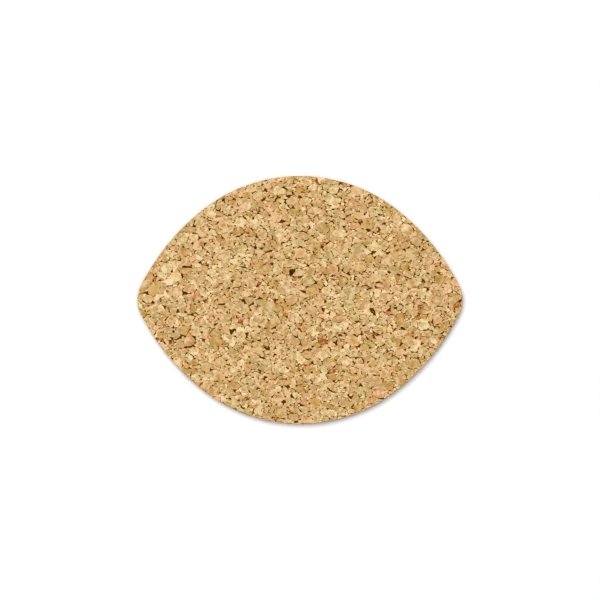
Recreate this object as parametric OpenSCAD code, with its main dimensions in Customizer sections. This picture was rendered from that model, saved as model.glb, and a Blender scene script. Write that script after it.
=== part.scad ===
// Lens-shaped drink coaster, die-cut from a sheet of composition cork.
// Coarse granules of seven tones sit in a bonded sheet of finer granulate and are cut off
// with it where they cross the edge. Millimetres; the underside lies on z = 0, the middle of
// the coaster on the z axis and its tips on the x axis.

/* [Coaster] */
// Length from tip to tip
coaster_l = 133.4; // [110:0.2:160]
// Width across the middle
coaster_w = 101.6; // [84:0.2:122]
// Thickness of the cork
sheet_t = 3.2; // [1.5:0.1:8]

/* [Outline] */
// Radius of the rounded tips
tip_r = 12.6; // [7:0.2:18]
// Angle that a tip's arc turns through on each side of the tip
tip_turn = 26.6; // [15:0.2:35]
// Angle that the arc of a long side turns through on each side of the middle
crown_turn = 38.5; // [20:0.5:50]

/* [Granulate] */
// Binder film between a coarse granule and its socket
bond_film = 0.1; // [0.05:0.05:0.2]
// Corners of a coarse granule
granule_corners = 7; // [5:1:12]
// Unevenness of the corners, as a share of the angle from one to the next
corner_jitter = 0.4; // [0:0.05:0.45]
// Arrangement of the uneven corners
corner_seed = 7; // [1:1:99]
// Least distance from a granule's middle to the cut edge
edge_hold = 0.6; // [0.4:0.1:3]

/* [Hidden] */
$fn = 128;

// Outline, first quarter: a crown arc, a flank arc and half a tip, each tangent to the next.
// Their spans along x and y add up to half the length and half the width, which gives the
// radii of the crown and the flank.
crown_span = [sin(crown_turn), 1 - cos(crown_turn)];
flank_span = [cos(tip_turn) - sin(crown_turn), cos(crown_turn) - sin(tip_turn)];
tip_span = [1 - cos(tip_turn), sin(tip_turn)];
arcs_span = [coaster_l / 2, coaster_w / 2] - tip_r * tip_span;
crown_r = cross(arcs_span, flank_span) / cross(crown_span, flank_span);
flank_r = cross(crown_span, arcs_span) / cross(crown_span, flank_span);
crown_centre = [0, coaster_w / 2 - crown_r];
tip_centre = [coaster_l / 2 - tip_r, 0];
crown_joint = crown_centre + crown_r * [sin(crown_turn), cos(crown_turn)];
tip_joint = tip_centre + tip_r * [cos(tip_turn), sin(tip_turn)];
flank_centre = tip_joint - flank_r * [cos(tip_turn), sin(tip_turn)];

// Coarse granules, each as x, y, length, width and turn.
tan_layout = [
    [-29, 41.5, 3.5, 2.4, 20], [5.5, 43.5, 5, 3.4, 15], [17.5, 43, 5, 3.4, 0],
    [26, 37.5, 4.6, 3.6, 80], [-46, 22, 5, 2.6, 0], [-31, 17.5, 6, 5.4, 30],
    [-8.5, 18, 5, 4, 0], [6.5, 16.4, 5, 3, -10], [24.5, 13, 6, 4, 0],
    [22.5, 18, 4, 3.6, 0], [19, 12.8, 4, 3.6, 60], [31, 9, 6, 4.2, 0],
    [17.5, 7.5, 5, 3.8, 80], [43, 22.3, 5, 3, 10], [51, 19, 4, 3, 20],
    [-30.5, -7, 6, 3.8, 10], [-28.5, -2.4, 5, 3.6, 0], [-2.2, -17, 4.5, 4, 0],
    [1.2, -4.2, 4, 3.4, 80], [45.1, -5.4, 4, 2.6, 10], [44, -17.5, 6, 3.6, -10],
    [41, -21.3, 5, 3.2, 0], [50, -21, 4, 3.6, 0], [-18, -38.5, 5, 4, 0],
    [-13.5, -47.5, 5, 3.6, -10], [-28.6, -38, 4, 3, 0], [18, -42, 5, 4, 0],
    [24, -37, 5, 4, 0], [6.5, -46.5, 5, 4, 0], [18, -32, 5, 3, 0],
    [-7.8, -11.3, 4.5, 3.4, 0], [-39.5, 24.4, 5, 3, 0], [-30, 6.8, 5, 4, 0],
    [27.5, -23.4, 5, 3, 0], [-59.4, 11.8, 3.4, 2.4, 60]
];
honey_layout = [
    [-21.5, 43, 5.5, 2.8, 5], [-3, 36, 5, 4, 0], [-9.6, 39.6, 3, 1.6, -20],
    [-19.5, 27, 4, 2.4, 0], [1, 43, 3, 2.8, 0], [10, 36, 4, 1.8, -50],
    [20.5, 33.2, 4.4, 3.4, 0], [2, 32.5, 5, 2, 0], [-49, 13, 4, 2.4, 90],
    [-60, 4.5, 7, 5.4, 70], [-15, 12.2, 6, 4.6, 10], [-11, 6.6, 4.4, 3, 0],
    [-14.3, 1.8, 4.4, 2.2, 10], [28.6, 17, 4.4, 4, 0], [5, 3.6, 6, 3.8, 0],
    [42, 10, 2.4, 1.8, 0], [57.5, 8.4, 6, 4.4, 0], [56.5, 12.8, 4, 2.6, 0],
    [-47.2, -12.5, 4.5, 4.4, 0], [-34.2, -17.2, 7.6, 4.4, -5], [-40, -21, 3.6, 2, 0],
    [-43.5, -25.6, 5, 3, 10], [-14.8, -12.6, 3, 2.8, 0], [-6.5, -2, 3.5, 2.4, 0],
    [12, -2, 4, 3, 0], [27.5, -17.5, 3.6, 3, 0], [41, -8, 6.5, 4, 85],
    [58.8, -11.4, 4, 3.2, 80], [57.3, -14.8, 2.6, 2, 0], [-7, -34, 5, 3.4, 0],
    [3, -28.5, 4, 3.8, 0], [0, -36.5, 4, 3.8, 0], [33.2, 27.4, 2.6, 2, 80],
    [-64, -5.6, 3.4, 2.2, -70]
];
pale_layout = [
    [-26.4, 38, 2.4, 1.4, -20], [-6.4, 41.6, 3.5, 1.6, 0], [-17, 34, 4, 3, 20],
    [2.2, 47.9, 7, 2.8, 0], [14.8, 46.8, 3.4, 1.2, 0], [12.6, 37.6, 2.2, 1.4, 0],
    [27.6, 41.4, 3, 1, 55], [-41.8, 13.8, 3.4, 2.4, 0], [-41.3, 6.2, 4.8, 1.6, 5],
    [-37.7, 8.8, 3, 2.4, 0], [-55.4, 3, 3.6, 2.2, 80], [-9.2, 12, 5, 3.6, -5],
    [-27.5, 13, 4, 3.4, 0], [-0.8, 23.4, 6.5, 3.2, 0], [-20, 21, 3.4, 2, 0],
    [-25.9, 2.9, 2, 1.8, 0], [-9.5, 1.8, 3.2, 2.8, 0], [30.3, 21.9, 5, 4.2, 80],
    [31.8, 3, 4.4, 3.4, 85], [10.8, 3.6, 4.6, 4.2, 0], [-50.6, -10.4, 2.8, 2.6, 0],
    [-48.3, -5.8, 5, 2, 5], [-42.5, -6.7, 3, 1.4, -30], [-38.5, -2.6, 3.4, 2.8, 0],
    [-38.4, -7.2, 3.2, 2.4, 0], [-51, -21.2, 4, 1.8, -40], [-45.2, -22.6, 3, 1.4, -30],
    [-27.6, -11, 3.6, 2.6, 50], [-21.4, -12.2, 4, 2.8, 85], [-2.8, -7.2, 3, 1.8, -75],
    [-28, -17.7, 4, 3.4, 60], [7.5, -8.9, 3.4, 2.8, 80], [11, -6.5, 2.4, 1.8, 60],
    [11.3, -12.2, 3, 2, -10], [29.5, -20.4, 3.4, 1.8, 0], [60.6, -4.2, 3, 2.6, 0],
    [41.5, -24.7, 3.4, 1.6, 10], [-17.5, -33.5, 5.5, 2.2, -65], [-22.2, -36.6, 3.6, 2.2, -45],
    [7.5, -32.2, 4, 3.2, 60], [9.5, -36.2, 4, 3, 20], [13.5, -46.2, 5, 2.2, -30],
    [53, 2, 4.4, 4, 80], [17.6, -21.6, 4.4, 3.2, 60], [-3.4, -49.9, 3.2, 2, 0],
    [33.4, 40.6, 3.2, 2, -40]
];
peach_layout = [
    [-28.6, 35.8, 3.6, 2.4, 0], [-16.3, 39.3, 3, 2.6, 80], [-9.3, 33.8, 5, 4.2, 60],
    [-8, 47.3, 3.6, 2.4, 0], [-13, 46.7, 3.5, 2.4, 0], [-31.5, 30.5, 5, 4.4, 80],
    [21.4, 39.3, 5, 3.6, 70], [-52, 20.8, 4, 2, -30], [-18.5, 16.8, 4.4, 2.8, 85],
    [-22.5, 2.4, 4, 3.4, 0], [-17, 4.4, 3, 2.2, 0], [61.6, 10.4, 4, 2.6, -65],
    [-57, -9.4, 5, 2.6, 10], [-38, -10.6, 6, 2, 0], [-48.5, -18.6, 3.6, 2.8, 0],
    [-57.8, -12.8, 2.4, 2, 0], [-9.3, -21.4, 4.6, 3.2, 0], [-10, -17.4, 3.6, 3, 0],
    [21.5, -16.8, 7.5, 5, -10], [16.5, -7.7, 7, 3.2, 5], [29, -2.6, 3.4, 2.8, 0],
    [53, -7.2, 4, 3.2, 85], [51.5, -16.6, 4, 2.8, 0], [54, -20.4, 3, 2, -10],
    [-16.2, -43.7, 2.6, 2.2, 90], [-3, -41.7, 3.6, 2.2, 0], [-2, -45.5, 4.5, 2.8, 5],
    [30, -41, 5, 3.2, 15], [22, -29, 4, 3, 0], [4.6, -35.6, 3.4, 2.6, 0],
    [2, -42.3, 3.8, 2.2, 0], [-26.6, 44.2, 3.6, 2.2, 25], [57.2, -17.4, 3.4, 2.2, 50]
];
olive_layout = [
    [-5.6, 31.6, 3, 1.8, 0], [5, 27.8, 4, 3, 0], [-16.5, 22.4, 4, 2.8, 0],
    [17.4, 20.6, 6, 3.8, -20], [11.4, 18.4, 5.4, 3.2, -25], [8.3, 12.3, 4, 3, 0],
    [22.5, 3.8, 5.5, 3.8, 0], [17.2, 2.4, 3.8, 2.6, 85], [38, 12.5, 6.5, 3.2, -5],
    [43.5, 16.4, 4.4, 1.8, 0], [52, 9.2, 4, 3.6, 0], [-59.5, -6.1, 4, 2.6, 0],
    [-54, -12.4, 4, 3.2, 0], [-48, -2.3, 3.4, 3, 0], [-22.4, -3.6, 4.4, 3.6, 70],
    [-17, -8.2, 5.2, 3.8, 80], [-12.5, -2.8, 5.6, 4.6, 10], [-17.5, -18.2, 5, 3, 0],
    [-13.4, -21.4, 2.8, 2.4, 0], [-4, -21.8, 4, 3.4, 0], [3.4, -8.2, 4.2, 2.2, 10],
    [30, -7.8, 4, 3.4, 0], [27, -11.6, 4.6, 3.2, 20], [22.8, -7.3, 3.8, 3.4, 0],
    [14.2, -16.4, 2.8, 2.2, 0], [54, -11.6, 3, 2.6, 0], [42, -13.5, 5, 2.8, 0],
    [-15, -28, 5, 3.4, 0], [-8, -43, 3, 2.6, 0], [10.5, -49.1, 4, 2.4, 10],
    [-33.3, 38.6, 3.2, 2.4, 80]
];
russet_layout = [
    [7.2, 48.2, 3, 1.6, -45], [29.4, 40.2, 1.4, 1, 0], [7.2, 34.2, 1.8, 0.9, -60],
    [-38.6, 14.6, 2.6, 1.5, 0], [9.4, 22.8, 3, 1.9, 0], [-1.8, 9, 2.4, 2, 40],
    [-24.2, -9, 2.8, 2.2, 10], [-5.8, -6, 2.6, 2, 0], [9.3, -16.8, 4.6, 2.8, 0],
    [30, -5, 2, 1, 0], [31, -13.9, 2.6, 1.2, 10], [36.2, -5.2, 3.4, 1.9, 0],
    [48.4, -7.2, 2.6, 2.2, 0], [64.2, -2.2, 3.2, 2.6, 0], [-25, -38.4, 2.8, 1.8, -20],
    [13, -29.3, 3.8, 1.8, 10], [4.8, 0.8, 2, 0.9, 10], [-22.6, -40.8, 3, 1.5, 5]
];
bark_layout = [
    [-39.4, -16.3, 1.6, 1.4, 0], [-3.6, 11.2, 2.2, 2, 0], [20.6, -39.8, 1.6, 1.2, 0],
    [28.3, 4.6, 2.6, 0.8, 30], [-19.6, -1.6, 1.4, 1.2, 0], [-23.6, 13.4, 2, 0.8, -20],
    [-2.6, 47.9, 1.4, 0.8, 0], [12.9, 10.1, 1.2, 0.9, 30], [-3, -39.4, 2, 0.7, -35],
    [47.6, -15.4, 1.4, 1, 0], [-49.3, -15.5, 1.4, 1, 0], [-46.3, 13.2, 2.2, 0.9, 20]
];
all_layouts = concat(
    tan_layout, honey_layout, pale_layout, peach_layout, olive_layout, russet_layout, bark_layout
);

// Direction of a vector from the origin, counted from the x axis
function heading(v) = atan2(v.y, v.x);

// Distance of a point inside the cut edge from that edge
function edge_depth(p) =
    let (
        q = [abs(p.x), abs(p.y)],
        in_crown = heading(q - crown_centre) > 90 - crown_turn,
        in_tip = q.x > tip_centre.x && heading(q - tip_centre) < tip_turn
    )
    in_crown ? crown_r - norm(q - crown_centre)
    : in_tip ? tip_r - norm(q - tip_centre)
    : flank_r - norm(q - flank_centre);

// Uneven corners on an ellipse, so that every granule is convex
function granule_corner_points(g, grow) =
    let (
        jitter = rands(-corner_jitter, corner_jitter, granule_corners, corner_seed * g.x + g.y),
        half_l = g[2] / 2 + grow,
        half_w = g[3] / 2 + grow,
        turn = g[4]
    )
    [
        for (i = [0:granule_corners - 1])
            let (
                t = 360 * (i + jitter[i]) / granule_corners,
                u = half_l * cos(t),
                v = half_w * sin(t)
            )
            [g.x + u * cos(turn) - v * sin(turn), g.y + u * sin(turn) + v * cos(turn)]
    ];

// One arc of the outline, trimmed to the wedge from the middle through its two joints
module outline_arc(centre, radius, start, end) {
    intersection() {
        translate(centre)
            circle(r = radius);
        polygon([[0, 0], coaster_l * start / norm(start), coaster_l * end / norm(end)]);
    }
}

module coaster_outline() {
    across = [1, -1];
    polygon([
        crown_joint, [-crown_joint.x, crown_joint.y], [-tip_joint.x, tip_joint.y], -tip_joint,
        -crown_joint, [crown_joint.x, -crown_joint.y], [tip_joint.x, -tip_joint.y], tip_joint
    ]);
    for (sx = across) {
        outline_arc([sx * tip_centre.x, 0], tip_r,
            [sx * tip_joint.x, tip_joint.y], [sx * tip_joint.x, -tip_joint.y]);
        outline_arc([0, sx * crown_centre.y], crown_r,
            [crown_joint.x, sx * crown_joint.y], [-crown_joint.x, sx * crown_joint.y]);
        for (sy = across)
            outline_arc([sx * flank_centre.x, sy * flank_centre.y], flank_r,
                [sx * crown_joint.x, sy * crown_joint.y], [sx * tip_joint.x, sy * tip_joint.y]);
    }
}

// Outlines of the granules whose middle the die leaves on the coaster
module granule_outlines(layout, grow) {
    for (g = layout)
        if (edge_depth(g) >= edge_hold)
            polygon(granule_corner_points(g, grow));
}

module granules(layout) {
    linear_extrude(height = sheet_t)
        intersection() {
            coaster_outline();
            union() {
                granule_outlines(layout, -bond_film);
            }
        }
}

module bonded_sheet() {
    color("BurlyWood")
        linear_extrude(height = sheet_t)
            difference() {
                coaster_outline();
                granule_outlines(all_layouts, 0);
            }
}

module tan_granules() {
    color("Tan")
        granules(tan_layout);
}

module honey_granules() {
    color("Goldenrod")
        granules(honey_layout);
}

module pale_granules() {
    color("Wheat")
        granules(pale_layout);
}

module peach_granules() {
    color("SandyBrown")
        granules(peach_layout);
}

module olive_granules() {
    color("DarkKhaki")
        granules(olive_layout);
}

module russet_granules() {
    color("Sienna")
        granules(russet_layout);
}

module bark_flecks() {
    color("SaddleBrown")
        granules(bark_layout);
}

bonded_sheet();
tan_granules();
honey_granules();
pale_granules();
peach_granules();
olive_granules();
russet_granules();
bark_flecks();
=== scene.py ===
"""Lens-shaped cork coaster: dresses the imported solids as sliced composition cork.

The solids give the coaster's outline and its coarse granules. This script packs finer granules
between them, cuts each granule to shape where it meets its neighbours, the two faces and the
die-cut edge, and finishes all of them as cork. Shapes are worked out in millimetres and scaled to
metres when a piece is finished.
"""

import itertools
import logging
import math
from collections.abc import Iterable, Iterator
from dataclasses import dataclass, field
from enum import Enum

import bmesh
import bpy
import numpy as np
from bmesh.types import BMEdge, BMesh, BMFace, BMVert
from mathutils import Matrix, Vector, kdtree, noise

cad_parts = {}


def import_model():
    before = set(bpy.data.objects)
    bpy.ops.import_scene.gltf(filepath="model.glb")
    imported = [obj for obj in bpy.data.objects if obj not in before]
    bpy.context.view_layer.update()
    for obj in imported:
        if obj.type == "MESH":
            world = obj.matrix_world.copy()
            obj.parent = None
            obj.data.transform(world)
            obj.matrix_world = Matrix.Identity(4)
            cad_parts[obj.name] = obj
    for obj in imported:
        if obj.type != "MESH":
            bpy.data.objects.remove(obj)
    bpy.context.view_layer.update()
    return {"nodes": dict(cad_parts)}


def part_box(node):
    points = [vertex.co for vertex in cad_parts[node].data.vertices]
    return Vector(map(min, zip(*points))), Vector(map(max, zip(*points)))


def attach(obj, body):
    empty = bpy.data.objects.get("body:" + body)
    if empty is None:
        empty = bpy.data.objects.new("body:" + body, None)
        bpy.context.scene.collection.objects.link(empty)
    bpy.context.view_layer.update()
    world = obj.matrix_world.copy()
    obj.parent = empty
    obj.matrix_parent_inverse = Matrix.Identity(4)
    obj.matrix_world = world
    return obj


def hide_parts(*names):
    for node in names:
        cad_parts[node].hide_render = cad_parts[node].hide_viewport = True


MM = 0.001
BODY = "root"
SHEET_NODE = "bonded_sheet"

RANDOM_SEED = 20
NOISE_SEED = 7
TINY = 1e-6

# Shift between two readings of the same noise, so that they are unlike
NOISE_SHIFT = Vector((31, 17, 5))

# Layers of the granules' vertices, then of their faces
SHADE = "shade"
WARMTH = "warmth"
FILM_AND_SHADE = "film"
LIP_HIGHLIGHT = "lip"
SKIN = "skin"
JOINT = "joint"

Colour = tuple[float, float, float, float]
Crack = tuple[Vector, Vector]

log = logging.getLogger("coaster")


class Tone(Enum):
    """The tones of cork in the granulate; each value is the CAD node of its coarse granules."""

    TAN = "tan_granules"
    HONEY = "honey_granules"
    PALE = "pale_granules"
    PEACH = "peach_granules"
    OLIVE = "olive_granules"
    RUSSET = "russet_granules"
    BARK = "bark_flecks"


SLOTS: dict[Tone, str] = {
    Tone.TAN: "tan_cork",
    Tone.HONEY: "honey_cork",
    Tone.PALE: "pale_cork",
    Tone.PEACH: "peach_cork",
    Tone.OLIVE: "olive_cork",
    Tone.RUSSET: "russet_cork",
    Tone.BARK: "bark",
}

# Share of each tone among the larger granules of the fine granulate, its bits and its chips
TONE_SHARES: dict[Tone, tuple[float, float, float]] = {
    Tone.TAN: (0.46, 0.35, 0.18),
    Tone.HONEY: (0.19, 0.17, 0.09),
    Tone.PALE: (0.15, 0.17, 0.46),
    Tone.PEACH: (0.1, 0.14, 0.12),
    Tone.OLIVE: (0.1, 0.12, 0.1),
    Tone.RUSSET: (0.0, 0.045, 0.05),
    Tone.BARK: (0.0, 0.005, 0.0),
}


def linear(srgb: tuple[int, int, int]) -> Colour:
    """Turns an sRGB colour of 0 to 255 into the linear colour that a socket takes.

    Args:
        srgb: Red, green and blue, 0 to 255.

    Returns:
        Linear red, green, blue and an alpha of 1.
    """
    parts = [c / 255 for c in srgb]
    red, green, blue = (p / 12.92 if p <= 0.04045 else ((p + 0.055) / 1.055) ** 2.4 for p in parts)
    return red, green, blue, 1.0


@dataclass(frozen=True)
class CoasterOutline:
    """The die-cut outline: crown arcs, flank arcs and rounded tips, each tangent to the next.

    Attributes:
        length: Tip to tip, mm.
        width: Across the middle, mm.
        tip_r: Radius of the tips, mm.
        tip_turn: Angle of a tip's arc on each side of the tip, degrees.
        crown_turn: Angle of a crown arc on each side of the middle, degrees.
        halvings: How often a span is halved to find a point of the outline.
    """

    length: float
    width: float
    tip_r: float = 12.6
    tip_turn: float = 26.6
    crown_turn: float = 38.5
    halvings: int = 40

    def arcs(self) -> tuple[np.ndarray, np.ndarray]:
        """Works out the arcs of the first quarter.

        Returns:
            The centres, one row each for crown, flank and tip, and the three radii, mm.
        """
        tip, crown = math.radians(self.tip_turn), math.radians(self.crown_turn)
        spans = np.array(
            [
                [math.sin(crown), math.cos(tip) - math.sin(crown)],
                [1 - math.cos(crown), math.cos(crown) - math.sin(tip)],
            ]
        )
        tip_span = np.array([1 - math.cos(tip), math.sin(tip)])
        half = np.array([self.length / 2, self.width / 2])
        crown_r, flank_r = np.linalg.solve(spans, half - self.tip_r * tip_span)
        towards_tip = np.array([math.cos(tip), math.sin(tip)])
        tip_centre = np.array([self.length / 2 - self.tip_r, 0.0])
        flank_centre = tip_centre - (flank_r - self.tip_r) * towards_tip
        crown_centre = np.array([0.0, self.width / 2 - crown_r])
        centres = np.array([crown_centre, flank_centre, tip_centre])
        return centres, np.array([crown_r, flank_r, self.tip_r])

    def depth(self, points: np.ndarray) -> tuple[np.ndarray, np.ndarray]:
        """Measures how far points lie inside the outline.

        Args:
            points: Points, one per row, of which x and y are read, mm.

        Returns:
            The depth of each point, negative outside, and the outward direction of the nearest
            edge as rows of x and y.
        """
        centres, radii = self.arcs()
        quarter = np.abs(points[:, :2])
        from_crown = quarter - centres[0]
        from_tip = quarter - centres[2]
        in_crown = np.arctan2(from_crown[:, 0], from_crown[:, 1]) < math.radians(self.crown_turn)
        tip_angle = np.arctan2(from_tip[:, 1], from_tip[:, 0])
        in_tip = (from_tip[:, 0] > 0) & (tip_angle < math.radians(self.tip_turn))
        arc = np.where(in_crown, 0, np.where(in_tip, 2, 1))
        away = quarter - centres[arc]
        reach = np.maximum(np.linalg.norm(away, axis=1), TINY)
        outward = away / reach[:, None] * np.where(points[:, :2] < 0, -1.0, 1.0)
        return radii[arc] - reach, outward

    def tangents(self, count: int) -> Iterator[tuple[Vector, Vector]]:
        """Walks round the outline.

        Args:
            count: Number of points.

        Yields:
            A point of the outline, mm, and the outward direction there.
        """
        for i in range(count):
            angle = 2 * math.pi * i / count
            ray = np.array([[math.cos(angle), math.sin(angle)]])
            low, high = 0.0, self.length
            for _ in range(self.halvings):
                middle = (low + high) / 2
                inside = self.depth(ray * middle)[0][0] > 0
                low, high = (middle, high) if inside else (low, middle)
            point = ray[0] * low
            outward = self.depth(point[None, :])[1][0]
            yield Vector((*point, 0)), Vector((*outward, 0))


@dataclass(frozen=True)
class Slab:
    """The space of the sheet: its outline and the heights of its faces, mm."""

    outline: CoasterOutline
    bottom: float
    top: float

    @classmethod
    def from_node(cls, node: str) -> "Slab":
        """Reads the sheet's size from its CAD node."""
        low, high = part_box(node)
        size = (high - low) / MM
        return cls(CoasterOutline(size.x, size.y), low.z / MM, high.z / MM)

    @property
    def middle(self) -> float:
        """Height half way between the faces, mm."""
        return (self.top + self.bottom) / 2

    def skin_depth(self, points: np.ndarray) -> np.ndarray:
        """Depth of each point under the nearer of the two faces, mm."""
        return np.minimum(points[:, 2] - self.bottom, self.top - points[:, 2])


def cut_away(bm: BMesh, point: Vector, outward: Vector) -> list[BMFace]:
    """Cuts a closed mesh with a plane and closes the cut.

    Args:
        bm: Closed mesh.
        point: A point of the plane.
        outward: Direction of the side that is removed.

    Returns:
        The faces that close the cut, none if the plane misses the mesh.
    """
    if all((v.co - point).dot(outward) <= TINY for v in bm.verts):
        return []
    everything = bm.verts[:] + bm.edges[:] + bm.faces[:]
    cut = bmesh.ops.bisect_plane(bm, geom=everything, plane_co=point, plane_no=outward, clear_outer=True)
    loop = [part for part in cut["geom_cut"] if isinstance(part, BMEdge)]
    if not loop:
        return []
    return bmesh.ops.contextual_create(bm, geom=loop)["faces"]


def islands(bm: BMesh) -> Iterator[list[BMVert]]:
    """Walks over the separate shells of a mesh.

    Args:
        bm: Any mesh.

    Yields:
        The vertices of one shell.
    """
    seen: set[int] = set()
    bm.verts.index_update()
    for start in bm.verts:
        if start.index in seen:
            continue
        seen.add(start.index)
        shell, front = [start], [start]
        while front:
            vert = front.pop()
            for edge in vert.link_edges:
                other = edge.other_vert(vert)
                if other.index not in seen:
                    seen.add(other.index)
                    shell.append(other)
                    front.append(other)
        yield shell


def search_tree(places: list[Vector]) -> kdtree.KDTree:
    """Builds a search tree over places, numbered in their order."""
    tree = kdtree.KDTree(len(places))
    for i, place in enumerate(places):
        tree.insert(place, i)
    tree.balance()
    return tree


def granule_layers(bm: BMesh) -> dict[str, object]:
    """Finds or adds a granule mesh's layers: four of its vertices and two marks of its faces."""
    floats = bm.verts.layers.float
    layers = {name: floats.get(name) or floats.new(name) for name in (SHADE, WARMTH, FILM_AND_SHADE, LIP_HIGHLIGHT)}
    marks = bm.faces.layers.int
    layers.update({name: marks.get(name) or marks.new(name) for name in (SKIN, JOINT)})
    return layers


def colour_granule(verts: Iterable[BMVert], layers: dict[str, object], shade: float, warmth: float) -> None:
    """Writes a granule's shade and warmth on its vertices."""
    for vert in verts:
        vert[layers[SHADE]] = shade
        vert[layers[WARMTH]] = warmth


@dataclass(frozen=True)
class Column:
    """An upright coarse granule as the finer ones meet it: its tone and the planes of its walls.

    Attributes:
        tone: Its tone.
        shade: Its shade within the tone.
        warmth: Its warmth.
        centre: Its middle, at height 0, mm.
        reach: How far its corners lie from its middle, mm.
        points: A point of each wall, mm.
        outward: The outward direction of each wall.
    """

    tone: Tone
    shade: float
    warmth: float
    centre: Vector
    reach: float
    points: np.ndarray
    outward: np.ndarray

    def nearest_wall(self, at: Vector) -> tuple[float, Vector, Vector]:
        """Finds the wall that a point lies furthest outside of.

        Args:
            at: The point.

        Returns:
            The point's distance outside that wall, negative inside the granule, a point of the
            wall and the wall's outward direction.
        """
        outside = ((np.array(at.xy) - self.points) * self.outward).sum(axis=1)
        wall = int(outside.argmax())
        point = Vector((*self.points[wall], at.z))
        return float(outside[wall]), point, Vector((*self.outward[wall], 0))


@dataclass
class ColumnIndex:
    """The coarse granules, to be found by place.

    Attributes:
        columns: The coarse granules.
        tree: Search tree over their middles.
        widest: Reach of the widest of them, mm.
    """

    columns: list[Column]
    tree: kdtree.KDTree = field(init=False)
    widest: float = field(init=False)

    def __post_init__(self) -> None:
        """Builds the search tree."""
        self.tree = search_tree([c.centre for c in self.columns])
        self.widest = max(c.reach for c in self.columns)

    def near(self, place: Vector, reach: float) -> Iterator[Column]:
        """Finds the coarse granules that may come near a place.

        Args:
            place: The place, of which x and y are read, mm.
            reach: How near, mm.

        Yields:
            Each of those granules.
        """
        for _, i, _ in self.tree.find_range(Vector((place.x, place.y, 0)), self.widest + reach):
            yield self.columns[i]


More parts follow.
